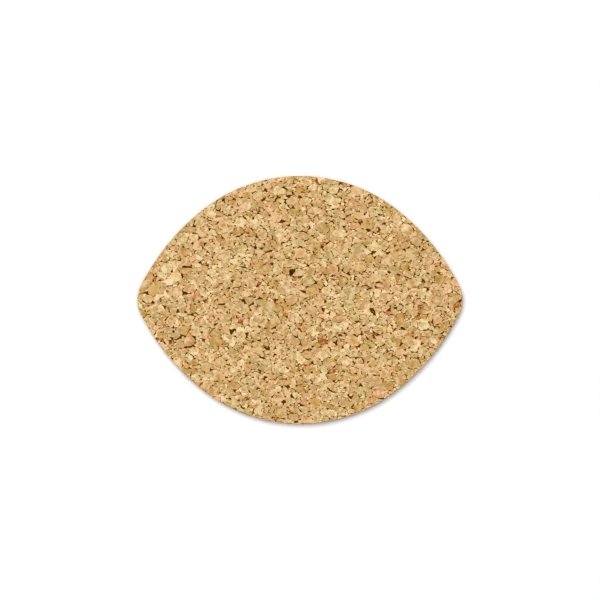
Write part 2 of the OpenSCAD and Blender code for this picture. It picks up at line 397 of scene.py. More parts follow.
@dataclass
class SliceFinish:
    """Turns cut granules into sliced cork: wavy outlines, and grooves that open and close.

    Attributes:
        slab: Space of the sheet.
        wave_sizes: Sizes of the waves in the granules' outlines, mm.
        wave_heights: Heights of those waves, mm.
        edge_hold: Depth under the die-cut edge at which waves have their full height, mm.
        face_hold: Depth under the faces at which waves have their full height, mm.
        split_length: Outline edges are split to about this length, mm.
        split_cuts: Numbers of cuts with which edges are split, long ones first.
        groove_widths: Widths of the groove's side on large and on smaller faces, mm.
        groove_room: How many groove widths across a face has to be.
        groove_depth: Depth of a groove where it is open, mm.
        seam_share: Share of its width that a groove keeps where it is closed.
        seam_depth: Depth of a groove where the granules are pressed together, mm.
        lip_width: Width of the lip that runs along the groove on larger faces, mm.
        lip_room: How many lip widths across a face has to be.
        lip_drop: How far the lip slopes down to an open groove, mm.
        inset_start: Width with which insets are made before they are widened, mm.
        inset_limit: The furthest that an inset goes, as a share of the way to the face's middle.
        rim_ease: How far the edge between a face and the die-cut rim is eased, mm.
        rim_gap: How far the rim keeps inside the die-cut outline, mm.
        rim_stain_and_shade: Least film along the eased die-cut edge: a stain of the pressed edge, and
            painted shade for the edge's dark shadow line.
        crack_sizes: Sizes of the patches in which grooves open, mm.
        crack_share: Share of the finer patches.
        crack_level: Level above which the patches' noise opens a groove.
        crack_slope: Rise of the noise over which a groove opens.
        seam_film: Variation of the binder film along a closed seam.
        seam_size: Size of the patches in which that film varies, mm.
        film_limit: The most film on a closed seam.
        lip_film: Binder film on the lip of an open groove.
    """

    slab: Slab
    wave_sizes: tuple[float, ...] = (3.1, 1.1, 0.5)
    wave_heights: tuple[float, ...] = (0.6, 0.1, 0.06)
    edge_hold: float = 1.2
    face_hold: float = 0.8
    split_length: float = 0.42
    split_cuts: tuple[int, ...] = (4, 3, 2, 1)
    groove_widths: tuple[float, ...] = (0.225, 0.16, 0.1, 0.05)
    groove_room: float = 2.4
    groove_depth: float = 0.28
    seam_share: float = 0.5
    seam_depth: float = 0.012
    lip_width: float = 0.24
    lip_room: float = 3.2
    lip_drop: float = 0.035
    inset_start: float = 0.001
    inset_limit: float = 0.45
    rim_ease: float = 0.24
    rim_gap: float = 0.02
    rim_stain_and_shade: float = 0.3
    crack_sizes: tuple[float, float] = (1.1, 0.5)
    crack_share: float = 0.45
    crack_level: float = 0.2
    crack_slope: float = 0.15
    seam_film: float = 0.6
    seam_size: float = 1.4
    film_limit: float = 0.9
    lip_film: float = 0.055

    def split_outlines(self, bm: BMesh, skins: list[BMFace]) -> None:
        """Adds vertices along the outlines of the sliced faces, so that they can wave."""
        edges = dict.fromkeys(edge for face in skins for edge in face.edges)
        for cuts in self.split_cuts:
            long = [e for e in edges if cuts * self.split_length < e.calc_length()]
            for edge in long:
                del edges[edge]
            bmesh.ops.bisect_edges(bm, edges=long, cuts=cuts)

    def wave(self, bm: BMesh) -> None:
        """Moves all vertices by smooth noise that keeps the faces and the die-cut edge in place."""
        places = np.array([v.co for v in bm.verts])
        moves = np.zeros_like(places)
        for size, height in zip(self.wave_sizes, self.wave_heights):
            moves += height * np.array([noise.noise_vector(v.co / size) for v in bm.verts])
        edge_depth, outward = self.slab.outline.depth(places)
        across = (moves[:, :2] * outward).sum(axis=1)
        free = np.clip(edge_depth / self.edge_hold, 0, 1)
        moves[:, :2] -= (across * (1 - free))[:, None] * outward
        moves[:, 2] *= np.clip(self.slab.skin_depth(places) / self.face_hold, 0, 1)
        places += moves
        edge_depth, outward = self.slab.outline.depth(places)
        places[:, :2] -= np.maximum(self.rim_gap - edge_depth, 0)[:, None] * outward
        for vert, place in zip(bm.verts, places):
            vert.co = place

    def openness(self, place: Vector) -> float:
        """Tells how far the groove is open at a place, from 0 to 1."""
        broad, fine = self.crack_sizes
        level = noise.noise(place / broad) + self.crack_share * noise.noise(place / fine + NOISE_SHIFT)
        return min(max((level - self.crack_level) / self.crack_slope, 0.0), 1.0)

    def inset(self, bm: BMesh, faces: list[BMFace], width: float) -> dict[BMVert, BMVert]:
        """Insets faces towards their middles, which keeps sharp corners from folding over.

        Args:
            bm: The granules.
            faces: Faces to inset.
            width: Width of the inset, mm.

        Returns:
            The old vertex that each new one was made from.
        """
        old: set[BMVert] = set()
        shares: dict[BMFace, dict[BMVert, float]] = {}
        for face in faces:
            middle = face.calc_center_median()
            shares[face] = {}
            for loop in face.loops:
                vert = loop.vert
                along = (loop.link_loop_next.vert.co - loop.link_loop_prev.vert.co).normalized()
                across = along.cross(middle - vert.co).length
                shares[face][vert] = min(self.inset_limit, width / max(across, TINY))
                old.add(vert)
        bmesh.ops.inset_individual(bm, faces=faces, thickness=self.inset_start)
        made: dict[BMVert, BMVert] = {}
        for face in faces:
            middle = face.calc_center_median()
            for inner in face.verts:
                outer = next(v for e in inner.link_edges for v in e.verts if v in old)
                inner.co = outer.co.lerp(middle, shares[face][outer])
                made[inner] = outer
        return made

    @staticmethod
    def has_room(face: BMFace, across: float) -> bool:
        """Tells whether a face is more than so many millimetres across."""
        return 2 * face.calc_area() > across * face.calc_perimeter()

    def form_lips(
        self, bm: BMesh, skins: list[BMFace], opening: dict[BMVert, float], layers: dict[str, object]
    ) -> None:
        """Insets the sliced faces by the grooves' width, and the larger ones again for their lips.

        Args:
            bm: The granules.
            skins: Their sliced faces.
            opening: How far the groove is open at each vertex of the faces' outlines.
            layers: The granules' layers.
        """
        lips: dict[BMVert, tuple[float, Vector]] = {}
        rest, faces = dict.fromkeys(skins), []
        for width in self.groove_widths:
            wide = [f for f in rest if self.has_room(f, self.groove_room * width)]
            normals = {v: f.normal.copy() for f in wide for v in f.verts}
            for inner, outer in self.inset(bm, wide, width).items():
                kept = self.seam_share + (1 - self.seam_share) * opening[outer]
                inner.co = outer.co.lerp(inner.co, kept)
                inner[layers[FILM_AND_SHADE]] = self.lip_film * opening[outer]
                lips[inner] = (opening[outer], normals[outer])
            for face in wide:
                del rest[face]
            faces += wide
        large = [f for f in faces if self.has_room(f, self.lip_room * self.lip_width)]
        self.inset(bm, large, self.lip_width)
        for face in large:
            face.smooth = True
            for edge in face.edges:
                for other in edge.link_faces:
                    other.smooth = True
        # The lips of open grooves are marked for a painted highlight in the material, and sunk where the
        # groove is open.
        for vert, (opened, normal) in lips.items():
            vert[layers[LIP_HIGHLIGHT]] = opened
            vert.co -= normal * (self.lip_drop * opened)

    def groove(self, bm: BMesh, skins: list[BMFace], layers: dict[str, object]) -> None:
        """Cuts the grooves between granules and marks the binder film along them; in open grooves and along
        the die-cut edge the film is also painted shade.

        Args:
            bm: The granules.
            skins: Their sliced faces.
            layers: The granules' layers.
        """
        film = layers[FILM_AND_SHADE]
        # Every vertex starts with full film, which darkens the walls: binder, and painted shade where walls
        # show in open grooves and pits.
        for vert in bm.verts:
            vert[film] = 1.0
        outline: dict[BMVert, Vector] = {}
        corners: set[BMVert] = set()
        for face in skins:
            for vert in face.verts:
                if vert in outline:
                    corners.add(vert)
                outline[vert] = outline.get(vert, Vector()) + face.normal
        joined = {v for v in outline if all(f[layers[SKIN]] or f[layers[JOINT]] for f in v.link_faces)}
        joined.difference_update(corners)
        opening = {v: 0.0 if v in joined else self.openness(v.co) for v in outline}
        self.form_lips(bm, skins, opening, layers)
        for vert, normal in outline.items():
            if vert in joined:
                vert[film] = 0.0
                continue
            # Film follows how open the groove is: binder, and painted shade in the groove's depth.
            drop = self.seam_depth + opening[vert] * self.groove_depth
            stain_and_shade = 0.0
            # Along the die-cut edge the film is at least the rim stain: a pressed-edge stain that is also a
            # painted dark line for the edge's shade.
            if vert in corners:
                drop = max(drop, self.rim_ease)
                stain_and_shade = self.rim_stain_and_shade
            seam = self.seam_film * noise.noise(vert.co / self.seam_size)
            vert[film] = max(opening[vert], min(max(seam, stain_and_shade), self.film_limit))
            vert.co -= normal.normalized() * drop

    def apply(self, bm: BMesh) -> None:
        """Finishes a mesh of cut granules whose sliced faces are marked as skin."""
        layers = granule_layers(bm)
        bmesh.ops.recalc_face_normals(bm, faces=bm.faces[:])
        skins = [f for f in bm.faces if f[layers[SKIN]]]
        self.split_outlines(bm, skins)
        self.wave(bm)
        bm.normal_update()
        self.groove(bm, skins, layers)


@dataclass(frozen=True)
class Shader:
    """Adds nodes to a shader's tree.

    Attributes:
        tree: The tree.
    """

    tree: bpy.types.NodeTree

    def feed(self, node: bpy.types.Node, inputs: dict[str | int, object]) -> None:
        """Sets a node's inputs to values, or links them to the outputs of other nodes."""
        for key, given in inputs.items():
            if isinstance(given, bpy.types.NodeSocket):
                self.tree.links.new(given, node.inputs[key])
            else:
                node.inputs[key].default_value = given

    def add(self, kind: str, inputs: dict[str | int, object], **settings: object) -> bpy.types.Node:
        """Adds a node.

        Args:
            kind: Kind of the node, without the words that all shader nodes begin with.
            inputs: What goes into it: values, or the outputs of other nodes.
            settings: Its other settings.

        Returns:
            The node.
        """
        node = self.tree.nodes.new(f"ShaderNode{kind}")
        for name, setting in settings.items():
            setattr(node, name, setting)
        self.feed(node, inputs)
        return node

    def place(self) -> bpy.types.NodeSocket:
        """Reads the place on the object, in metres."""
        return self.add("TexCoord", {}).outputs["Object"]

    def layer(self, name: str) -> bpy.types.NodeSocket:
        """Reads a layer of the granules' vertices."""
        return self.add("Attribute", {}, attribute_name=name).outputs["Fac"]

    def cloud(self, at: bpy.types.NodeSocket, scale: float, **inputs: float) -> bpy.types.NodeSocket:
        """Reads smooth noise at a place."""
        return self.add("TexNoise", {"Vector": at, "Scale": scale, **inputs}).outputs["Fac"]

    def reckon(self, operation: str, *values: object) -> bpy.types.NodeSocket:
        """Reckons with values or outputs."""
        return self.add("Math", dict(enumerate(values)), operation=operation).outputs["Value"]

    def stretch(
        self,
        value: bpy.types.NodeSocket,
        start: tuple[float, float],
        end: tuple[float, float],
        **settings: object,
    ) -> bpy.types.NodeSocket:
        """Stretches one range of values to another.

        Args:
            value: The value.
            start: The range that it has.
            end: The range that it gets.
            settings: How it is stretched.

        Returns:
            The stretched value.
        """
        inputs = {
            "Value": value,
            "From Min": start[0],
            "From Max": start[1],
            "To Min": end[0],
            "To Max": end[1],
        }
        return self.add("MapRange", inputs, **settings).outputs["Result"]

    def mix(self, share: object, first: object, second: object, way: str = "MIX") -> bpy.types.NodeSocket:
        """Mixes two colours.

        Args:
            share: Share of the second colour.
            first: The first colour.
            second: The second colour.
            way: How they are mixed.

        Returns:
            The mixed colour.
        """
        inputs = {"Factor": share, "A": first, "B": second}
        return self.add("Mix", inputs, data_type="RGBA", blend_type=way).outputs["Result"]


def new_material(name: str) -> tuple[bpy.types.Material, Shader]:
    """Makes a material and the shader that adds to its nodes."""
    material = bpy.data.materials.new(name)
    material.use_nodes = True
    return material, Shader(material.node_tree)


@dataclass(frozen=True)
class CorkGrain:
    """The shader group of cork grain that every cork finish shares.

    Attributes:
        streak_scale: Scale of the growth streaks, per metre.
        streak_stretch: How much closer the streaks' noise is along x, y and z.
        streak_roughness: How much of the streaks is fine.
        drift_scale: Scale of the slow drift of tone inside a granule, per metre.
        fleck_scale: Scale of the small dark flecks, per metre.
        fleck_distortion: How much the flecks are pulled out of shape.
        fleck_range: Levels of their noise between which flecks come up.
        fleck_sink: How far flecks go below the streaks.
        hue_scale: Scale of the drift of hue over neighbouring granules, per metre.
        hue_share: Share of the hue that is a granule's own.
        noise_range: Levels between which most of the noise lies.
    """

    streak_scale: float = 1500.0
    streak_stretch: tuple[float, float, float] = (1.0, 0.42, 1.0)
    streak_roughness: float = 0.6
    drift_scale: float = 560.0
    fleck_scale: float = 1900.0
    fleck_distortion: float = 0.6
    fleck_range: tuple[float, float] = (0.64, 0.74)
    fleck_sink: float = -0.5
    hue_scale: float = 250.0
    hue_share: float = 0.35
    noise_range: tuple[float, float] = (0.25, 0.75)

    def build(self) -> bpy.types.NodeTree:
        """Builds the group.

        Returns:
            A group that puts out Streaks, Drift, Flecks, Hue and Height.
        """
        tree = bpy.data.node_groups.new("cork grain", "ShaderNodeTree")
        shader = Shader(tree)
        place, warmth, shade = shader.place(), shader.layer(WARMTH), shader.layer(SHADE)

        # Every granule has its own grain: its place is turned and shifted by its warmth and shade
        angle = shader.reckon("MULTIPLY", warmth, 2 * math.pi)
        turned = shader.add("VectorRotate", {"Vector": place, "Angle": angle}, rotation_type="Z_AXIS")
        shift = shader.add("CombineXYZ", {"X": shade, "Y": warmth})
        terms = {0: turned.outputs["Vector"], 1: shift.outputs["Vector"]}
        own = shader.add("VectorMath", terms, operation="ADD").outputs["Vector"]

        along = shader.add("Mapping", {"Vector": own, "Scale": self.streak_stretch}).outputs["Vector"]
        streaks = shader.cloud(along, self.streak_scale, Detail=3.0, Roughness=self.streak_roughness)
        drift = shader.cloud(own, self.drift_scale, Detail=1.0)
        spots = shader.cloud(own, self.fleck_scale, Detail=2.0, Distortion=self.fleck_distortion)
        flecks = shader.stretch(spots, self.fleck_range, (0.0, 1.0), interpolation_type="SMOOTHSTEP")
        around = shader.cloud(place, self.hue_scale, Detail=1.0)
        shared = shader.stretch(around, self.noise_range, (0.0, 1.0))
        hue = shader.add("Mix", {"Factor": self.hue_share, "A": shared, "B": warmth})
        made = {
            "Streaks": streaks,
            "Drift": drift,
            "Flecks": flecks,
            "Hue": hue.outputs["Result"],
            "Height": shader.reckon("MULTIPLY_ADD", flecks, self.fleck_sink, streaks),
        }
        for name in made:
            tree.interface.new_socket(name, in_out="OUTPUT", socket_type="NodeSocketFloat")
        shader.feed(tree.nodes.new("NodeGroupOutput"), made)
        return tree


@dataclass(frozen=True)
class CorkFinish:
    """The finish of granules of one tone.

    Attributes:
        name: Name of the material.
        dark: Darkest shade of the tone, sRGB.
        light: Lightest shade of the tone, sRGB.
        film: What a thin binder film lets through in the grooves and on the granules' walls, sRGB; there it
            also darkens them as painted shade.
        film_and_shade_depth: How many such films deep the binder is at the bottom of a groove, which also
            paints the groove's shade.
        streak_depth: How far streaks lighten or darken the shade.
        drift_depth: How far the shade drifts inside a granule.
        noise_range: Levels between which most of the streaks' and the drift's noise lies.
        lip_highlight: How far the lips along open grooves lighten the shade: a painted highlight along the
            edges of open grooves.
        fleck_depth: How dark the flecks are.
        cool: What the greenest granules' colour is multiplied by.
        warm: What the reddest granules' colour is multiplied by.
        roughness: Roughness of the sliced faces.
        roughness_swing: How far streaks change the roughness.
        shine: Level of the sliced faces' gloss.
        bump: Strength of the grain's relief.
        bump_depth: Depth of the grain's relief, mm.
    """

    name: str
    dark: tuple[int, int, int]
    light: tuple[int, int, int]
    film: tuple[int, int, int] = (192, 150, 58)
    film_and_shade_depth: float = 3.3
    streak_depth: float = 1.0
    drift_depth: float = 1.1
    noise_range: tuple[float, float] = (0.25, 0.75)
    lip_highlight: float = 0.8
    fleck_depth: float = 0.36
    cool: Colour = (0.91, 1.014, 0.932, 1.0)
    warm: Colour = (1.084, 0.953, 0.987, 1.0)
    roughness: float = 0.82
    roughness_swing: float = 0.12
    shine: float = 0.03
    bump: float = 0.4
    bump_depth: float = 0.15

    def material(self, grain: bpy.types.NodeTree) -> bpy.types.Material:
        """Builds the material.

        Args:
            grain: The shared cork grain group.

        Returns:
            The material, which reads the granules' shade, warmth, film (binder, with painted shade in open
            grooves) and lips (a painted highlight).
        """
        material, shader = new_material(self.name)
        grains = shader.add("Group", {}, node_tree=grain).outputs

        # The lips along open grooves are lightened: a painted highlight.
        level = shader.reckon("MULTIPLY_ADD", shader.layer(LIP_HIGHLIGHT), self.lip_highlight, shader.layer(SHADE))
        for name, swing in (("Streaks", self.streak_depth), ("Drift", self.drift_depth)):
            sway = shader.stretch(grains[name], self.noise_range, (-swing, swing), clamp=False)
            level = shader.reckon("ADD", level, sway)
        tone = shader.mix(level, linear(self.dark), linear(self.light))
        cast = shader.mix(grains["Hue"], self.cool, self.warm)
        tinted = shader.mix(1.0, tone, cast, "MULTIPLY")

        # The binder film stains as a filter does: twice the film lets through the square of its tint. In
        # open grooves and on the walls this film is also painted shade.
        flecks = shader.reckon("MULTIPLY", grains["Flecks"], self.fleck_depth)
        stain_and_shade = shader.reckon("MAXIMUM", flecks, shader.layer(FILM_AND_SHADE))
        films_and_shade = shader.reckon("MULTIPLY", stain_and_shade, self.film_and_shade_depth)
        through = shader.add("Gamma", {"Color": linear(self.film), "Gamma": films_and_shade}).outputs["Color"]

        rough_range = (self.roughness - self.roughness_swing, self.roughness + self.roughness_swing)
        relief = {"Strength": self.bump, "Distance": self.bump_depth * MM, "Height": grains["Height"]}
        made = {
            "Base Color": shader.mix(1.0, tinted, through, "MULTIPLY"),
            "Roughness": shader.stretch(grains["Streaks"], (0.0, 1.0), rough_range),
            "Specular IOR Level": self.shine,
            "Normal": shader.add("Bump", relief).outputs["Normal"],
        }
        shader.feed(material.node_tree.nodes["Principled BSDF"], made)
        return material


FINISHES: dict[Tone, CorkFinish] = {
    Tone.TAN: CorkFinish("tan_cork", (202, 164, 111), (235, 201, 151)),
    Tone.HONEY: CorkFinish("honey_cork", (193, 151, 89), (222, 183, 123)),
    Tone.PALE: CorkFinish("pale_cork", (219, 186, 134), (252, 225, 178)),
    Tone.PEACH: CorkFinish("peach_cork", (208, 164, 113), (243, 203, 156)),
    Tone.OLIVE: CorkFinish("olive_cork", (196, 166, 111), (230, 204, 155)),
    Tone.RUSSET: CorkFinish("russet_cork", (160, 92, 40), (214, 154, 102)),
    Tone.BARK: CorkFinish("bark_cork", (54, 26, 2), (112, 66, 22)),
}


def finish_piece(bm: BMesh, name: str, material: bpy.types.Material) -> bpy.types.Object:
    """Turns a mesh in millimetres into a finished piece of the coaster.

    Args:
        bm: The mesh, which is freed.
        name: Name of the piece.
        material: Its material.

    Returns:
        The piece, at the origin and riding on the coaster's body.
    """
    bmesh.ops.recalc_face_normals(bm, faces=bm.faces[:])
    bmesh.ops.transform(bm, matrix=Matrix.Scale(MM, 4), verts=bm.verts[:])
    mesh = bpy.data.meshes.new(name)
    bm.to_mesh(mesh)
    bm.free()
    mesh.materials.append(material)
    piece = bpy.data.objects.new(name, mesh)
    bpy.context.scene.collection.objects.link(piece)
    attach(piece, BODY)
    triangles = sum(len(p.vertices) - 2 for p in mesh.polygons)
    log.info("%s: %d triangles", name, triangles)
    return piece


@dataclass
class CoarseGranules:
    """The coarse granules, taken from the solids and finished as sliced cork.

    Attributes:
        slab: Space of the sheet.
        finish: How granules are sliced.
        rng: Random numbers for the shades.
        recess: How far a granule's face may lie below the sheet's face, mm.
        shade_range: Darkest and lightest shade.
        weld: Vertices this close are one, mm.
        flat_angle: Faces that turn by less are one, degrees.
        level_from: Height of a face's normal from which the face is level.
        wall_below: Height of a face's normal below which the face is a wall.
        edge_reach: Walls this close to the outline are cut by the die, mm.
        columns: The granules as the finer ones meet them.
        meshes: The granules of each tone.
    """

    slab: Slab
    finish: SliceFinish
    rng: np.random.Generator
    recess: tuple[float, float] = (0.03, 0.09)
    shade_range: tuple[float, float] = (0.05, 0.95)
    weld: float = 0.001
    flat_angle: float = 1.0
    level_from: float = 0.9
    wall_below: float = 0.5
    edge_reach: float = 0.15
    columns: list[Column] = field(default_factory=list)
    meshes: dict[Tone, BMesh] = field(default_factory=dict)

    def take(self, tone: Tone, node: bpy.types.Object) -> None:
        """Copies the granules of one tone from their solids and notes their walls.

        Args:
            tone: Tone of the granules.
            node: CAD node of that tone.
        """
        bm = bmesh.new()
        bm.from_mesh(node.data)
        bmesh.ops.transform(bm, matrix=Matrix.Scale(1 / MM, 4), verts=bm.verts[:])
        bmesh.ops.remove_doubles(bm, verts=bm.verts[:], dist=self.weld)
        limit = math.radians(self.flat_angle)
        bmesh.ops.dissolve_limit(bm, angle_limit=limit, verts=bm.verts[:], edges=bm.edges[:])
        layers = granule_layers(bm)
        for shell in islands(bm):
            shade = self.rng.uniform(*self.shade_range)
            warmth = self.rng.uniform()
            self.columns.append(self.column(shell, tone, shade, warmth))
            colour_granule(shell, layers, shade, warmth)
            low, high = self.rng.uniform(*self.recess, size=2)
            for vert in shell:
                upper = vert.co.z > self.slab.middle
                vert.co.z = self.slab.top - high if upper else self.slab.bottom + low
        for face in bm.faces:
            centre = np.array([face.calc_center_median()])
            at_edge = self.slab.outline.depth(centre)[0][0] < self.edge_reach
            face[layers[SKIN]] = int(abs(face.normal.z) > self.level_from or at_edge)
        self.meshes[tone] = bm

    def column(self, shell: list[BMVert], tone: Tone, shade: float, warmth: float) -> Column:
        """Notes the tone and the walls of one granule.

        Args:
            shell: The granule's vertices.
            tone: Its tone.
            shade: Its shade within the tone.
            warmth: Its warmth.

        Returns:
            The granule as a column.
        """
        faces = dict.fromkeys(f for v in shell for f in v.link_faces)
        walls = [f for f in faces if abs(f.normal.z) < self.wall_below]
        points = np.array([f.calc_center_median().xy for f in walls])
        outward = np.array([f.normal.xy.normalized() for f in walls])
        corners = np.array([v.co.xy for v in shell])
        centre = corners.mean(axis=0)
        reach = float(np.linalg.norm(corners - centre, axis=1).max())
        return Column(tone, shade, warmth, Vector((*centre, 0)), reach, points, outward)

    def dress(self, materials: dict[Tone, bpy.types.Material]) -> None:
        """Finishes the granules of every tone and puts them in place of their solids."""
        for tone, bm in self.meshes.items():
            self.finish.apply(bm)
            piece = finish_piece(bm, f"coarse_{SLOTS[tone]}", materials[tone])
            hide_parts(tone.value)


@dataclass(frozen=True)
class Granule:
    """One fine granule before it is cut: an oblong body that presses against its neighbours.

    Attributes:
        place: Its middle, mm.
        radius: Its mean radius, mm.
        form: Rows that turn a direction into the granule's own axes and scale it by their lengths.
    """

    place: Vector
    radius: float
    form: Matrix

    @classmethod
    def random(
        cls, place: Vector, radius: float, rng: np.random.Generator, spread: float, lay: float
    ) -> "Granule":
        """Makes a granule of random form.

        Args:
            place: Its middle, mm.
            radius: Its mean radius, mm.
            rng: Random numbers.
            spread: How much its three lengths vary.
            lay: How much longer it gets along the coaster.

        Returns:
            The granule.
        """
        lengths = np.exp(rng.normal(0.0, spread, size=3))
        lengths *= radius / np.cbrt(lengths.prod())
        axes, _ = np.linalg.qr(rng.normal(size=(3, 3)))
        form = Matrix((axes / lengths).T.tolist()) @ Matrix.Diagonal((1 / lay, 1, 1))
        return cls(place, radius, form)

    def wall(self, other: "Granule") -> tuple[Vector, Vector]:
        """Finds the flat wall along which two granules press against each other.

        Args:
            other: The neighbour.

        Returns:
            A point of the wall and its direction towards the neighbour. The neighbour finds the
            same wall.
        """
        apart = other.place - self.place
        mine, theirs = self.form @ apart, other.form @ apart
        share = theirs.length / (mine.length + theirs.length)
        facing = self.form.transposed() @ mine + other.form.transposed() @ theirs
        return self.place + apart * share, facing.normalized()


@dataclass
class GranulePacking:
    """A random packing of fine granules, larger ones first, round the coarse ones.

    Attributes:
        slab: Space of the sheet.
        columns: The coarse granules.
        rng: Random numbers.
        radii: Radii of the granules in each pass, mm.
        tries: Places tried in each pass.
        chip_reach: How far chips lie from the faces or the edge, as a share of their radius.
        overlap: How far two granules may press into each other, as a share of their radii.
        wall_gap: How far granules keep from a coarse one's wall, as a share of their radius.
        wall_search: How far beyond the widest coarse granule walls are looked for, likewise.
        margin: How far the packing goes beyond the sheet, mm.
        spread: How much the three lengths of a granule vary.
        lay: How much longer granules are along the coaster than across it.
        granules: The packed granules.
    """

    slab: Slab
    columns: ColumnIndex
    rng: np.random.Generator
    radii: tuple[float, ...] = (2.2, 1.42, 0.93, 0.56, 0.33)
    tries: tuple[int, ...] = (1500, 6500, 19000, 60000, 180000)
    chip_reach: float = 0.7
    overlap: float = 0.18
    wall_gap: float = 0.35
    wall_search: float = 0.3
    margin: float = 1.2
    spread: float = 0.16
    lay: float = 1.32
    granules: list[Granule] = field(default_factory=list)

    @property
    def chip_radius(self) -> float:
        """Radius of the chips, the last granules, which are placed at the faces and the edge only, mm."""
        return self.radii[-1]

    def squeezed(self, place: Vector) -> Vector:
        """A place with the lay taken out, so that distances are the same in all directions."""
        return Vector((place.x / self.lay, place.y, place.z))

    def darts(self, radius: float, tries: int) -> np.ndarray:
        """Throws random places for granules of one size.

        Args:
            radius: Radius of the granules, mm.
            tries: Number of places thrown.

        Returns:
            The places that fall on the sheet, mm.
        """
        outline = self.slab.outline
        half = np.array([outline.length / 2, outline.width / 2]) + self.margin
        low = [-half[0], -half[1], self.slab.bottom - self.margin]
        high = [half[0], half[1], self.slab.top + self.margin]
        places = self.rng.uniform(low, high, size=(tries, 3))
        to_edge = outline.depth(places)[0]
        if radius > self.chip_radius:
            return places[to_edge > -self.margin]
        to_face = self.slab.skin_depth(places)
        at_face = (np.abs(to_face) < self.chip_reach * radius) & (to_edge > -radius)
        at_edge = (np.abs(to_edge) < self.chip_reach * radius) & (to_face > 0)
        return places[at_face | at_edge]

    def pack(self) -> None:
        """Places the granules."""
        room = 1 - self.overlap
        for radius, tries in zip(self.radii, self.tries):
            larger = search_tree([self.squeezed(g.place) for g in self.granules])
            reach = room * (radius + self.radii[0])
            placed: dict[tuple[int, ...], list[Vector]] = {}
            for dart in self.darts(radius, tries):
                place = Vector(dart)
                squeezed = self.squeezed(place)
                near = larger.find_range(squeezed, reach)
                if any(gap < room * (radius + self.granules[i].radius) for _, i, gap in near):
                    continue
                box = tuple(int(math.floor(c / (2 * radius))) for c in squeezed)
                if self.clashes(squeezed, radius, box, placed):
                    continue
                coarse = self.columns.near(place, self.wall_search * radius)
                if any(c.nearest_wall(place)[0] < self.wall_gap * radius for c in coarse):
                    continue
                placed.setdefault(box, []).append(squeezed)
                self.granules.append(Granule.random(place, radius, self.rng, self.spread, self.lay))
            log.info("packing: %d granules down to %.2f mm", len(self.granules), radius)

    def clashes(
        self,
        place: Vector,
        radius: float,
        box: tuple[int, ...],
        placed: dict[tuple[int, ...], list[Vector]],
    ) -> bool:
        """Tells whether a granule would press too far into one of its own size.

        Args:
            place: The granule's squeezed place, mm.
            radius: Its radius, mm.
            box: The box of space that it lies in.
            placed: The squeezed places of the granules in each box.

        Returns:
            True if it would.
        """
        reach = 2 * radius * (1 - self.overlap)
        for near in itertools.product(*((c, c - 1, c + 1) for c in box)):
            for other in placed.get(near, ()):
                if (other - place).length_squared < reach * reach:
                    return True
        return False


class Side(Enum):
    """The half of the sheet that a fine granule belongs to."""

    UPPER = "upper"
    LOWER = "lower"


@dataclass(frozen=True)
class Slicing:
    """How one granule is sliced: both faces cut it alike if it is joined to another.

    Attributes:
        at: Place over and under which the slices are given, mm.
        recesses: Depth of the upper and of the lower slice under the sheet's face there, mm.
        slopes: Slopes of the upper and of the lower slice along x and y.
    """

    at: Vector
    recesses: tuple[float, float]
    slopes: tuple[tuple[float, float], tuple[float, float]]

    def planes(self, slab: Slab) -> list[tuple[Vector, Vector]]:
        """Gives a point and the outward direction of the upper and of the lower slice."""
        planes = []
        sides = zip((slab.top, slab.bottom), (1.0, -1.0), self.recesses, self.slopes)
        for height, up, recess, slope in sides:
            point = Vector((self.at.x, self.at.y, height - up * recess))
            planes.append((point, Vector((*slope, up)).normalized()))
        return planes


@dataclass(frozen=True)
class Tints:
    """The colours of the fine granules, in their order.

    Attributes:
        tones: Each granule's tone, by its place among the tones.
        shades: Its shade within the tone.
        warmths: Its warmth.
        twins: A granule of its own kind, whose colour its part beyond a crack takes.
    """

    tones: np.ndarray
    shades: np.ndarray
    warmths: np.ndarray
    twins: np.ndarray


